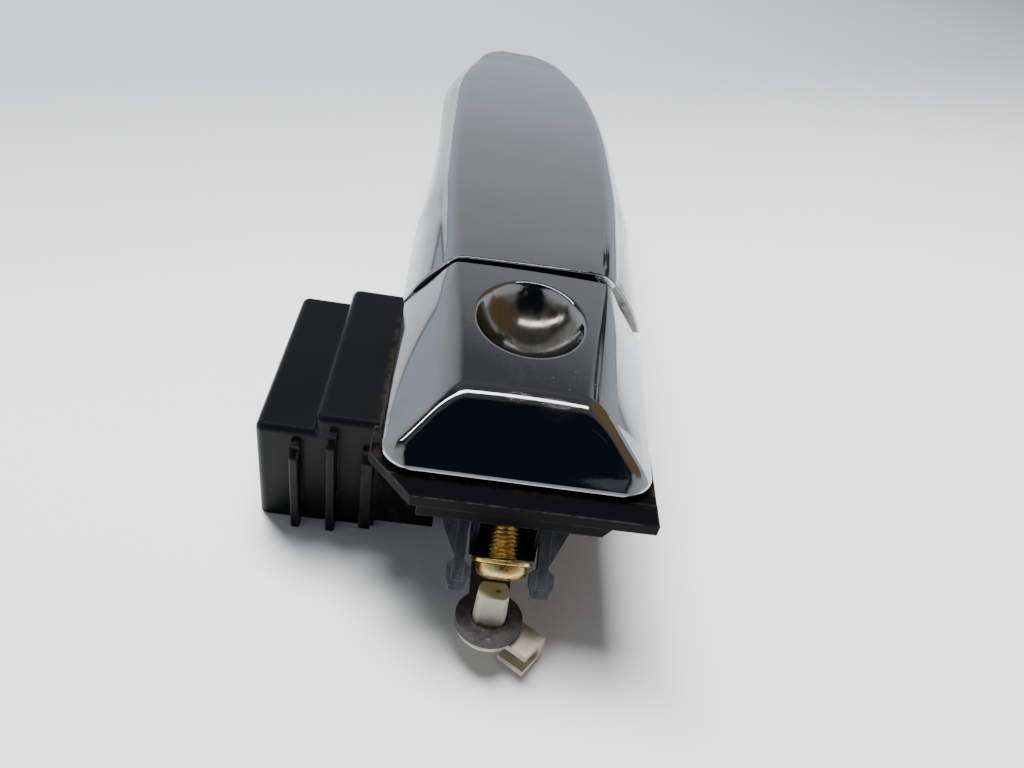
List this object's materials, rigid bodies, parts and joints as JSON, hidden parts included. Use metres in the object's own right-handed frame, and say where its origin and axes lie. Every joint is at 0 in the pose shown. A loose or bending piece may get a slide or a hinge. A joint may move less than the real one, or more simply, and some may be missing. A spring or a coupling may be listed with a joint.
{
  "type": "car door handle",
  "caption": "Exterior strap-type car door handle: hinged chrome pull grip, fixed chrome end cap with a dish, black carrier, bell crank and latch rod clip.",
  "frame": {"origin": "on the carrier's seat face, on the centre line, level with the near rim of the end cap", "axes": "+X across the handle to the right, +Y along the handle from the end cap to the grip's far tip, +Z out of the door"},
  "size_m": [0.0836, 0.2478, 0.0494],
  "materials": {
    "chrome_plate": "mirror chrome with fine scratches",
    "black_plastic": "satin black with a fine grain",
    "grey_plastic": "scuffed dark grey",
    "crank_plastic": "matt dark grey",
    "nylon": "cream with dirt in its corners",
    "yellow_zinc": "yellow zinc plating",
    "bright_zinc": "bright zinc plating",
    "steel_strap": "galvanised",
    "weight_metal": "cast, matt",
    "rubber": "matt"
  },
  "bodies": {
    "carrier": {"carrier": "black_plastic", "side_housing": "black_plastic", "housing_screws": "bright_zinc", "cap_shell": "chrome_plate", "cap_retainer": "grey_plastic", "clamp_screw": "yellow_zinc", "clamp_washer": "yellow_zinc", "clamp_nut": "bright_zinc", "hinge_pin": "bright_zinc", "hinge_clips": "bright_zinc", "foot_gasket": "rubber", "pivot_shaft": "bright_zinc", "shaft_clip": "bright_zinc", "return_spring": "bright_zinc"},
    "grip": {"grip_shell": "chrome_plate", "grip_liner": "black_plastic", "grip_frame": "steel_strap", "liner_screws": "bright_zinc", "grip_buffers": "rubber", "leg_pad": "rubber"},
    "crank": {"bell_crank": "crank_plastic", "counterweight": "weight_metal"},
    "rod_clip": {"rod_clip": "nylon"}
  },
  "joints": [
    {"name": "grip_hinge", "type": "hinge", "parent": "carrier", "child": "grip", "pos_m": [0, 0.21, -0.0065], "axis": [-1, 0, 0], "range_deg": [0, 7]},
    {"name": "crank_pivot", "type": "hinge", "parent": "carrier", "child": "crank", "pos_m": [0, 0.027, -0.0135], "axis": [1, 0, 0], "range_deg": [0, 29], "stiffness_Nm_per_rad": 0.2, "springref_deg": -34.38, "deforming": ["return_spring"]},
    {"name": "clip_swivel", "type": "hinge", "parent": "crank", "child": "rod_clip", "pos_m": [-0.0013, -0.013, -0.024], "axis": [0, 0.1736, 0.9848], "range_deg": [-90, 90]}
  ],
  "couplings": [
    {"joint": "crank_pivot", "follows": "grip_hinge", "ratio": 4.12}
  ]
}
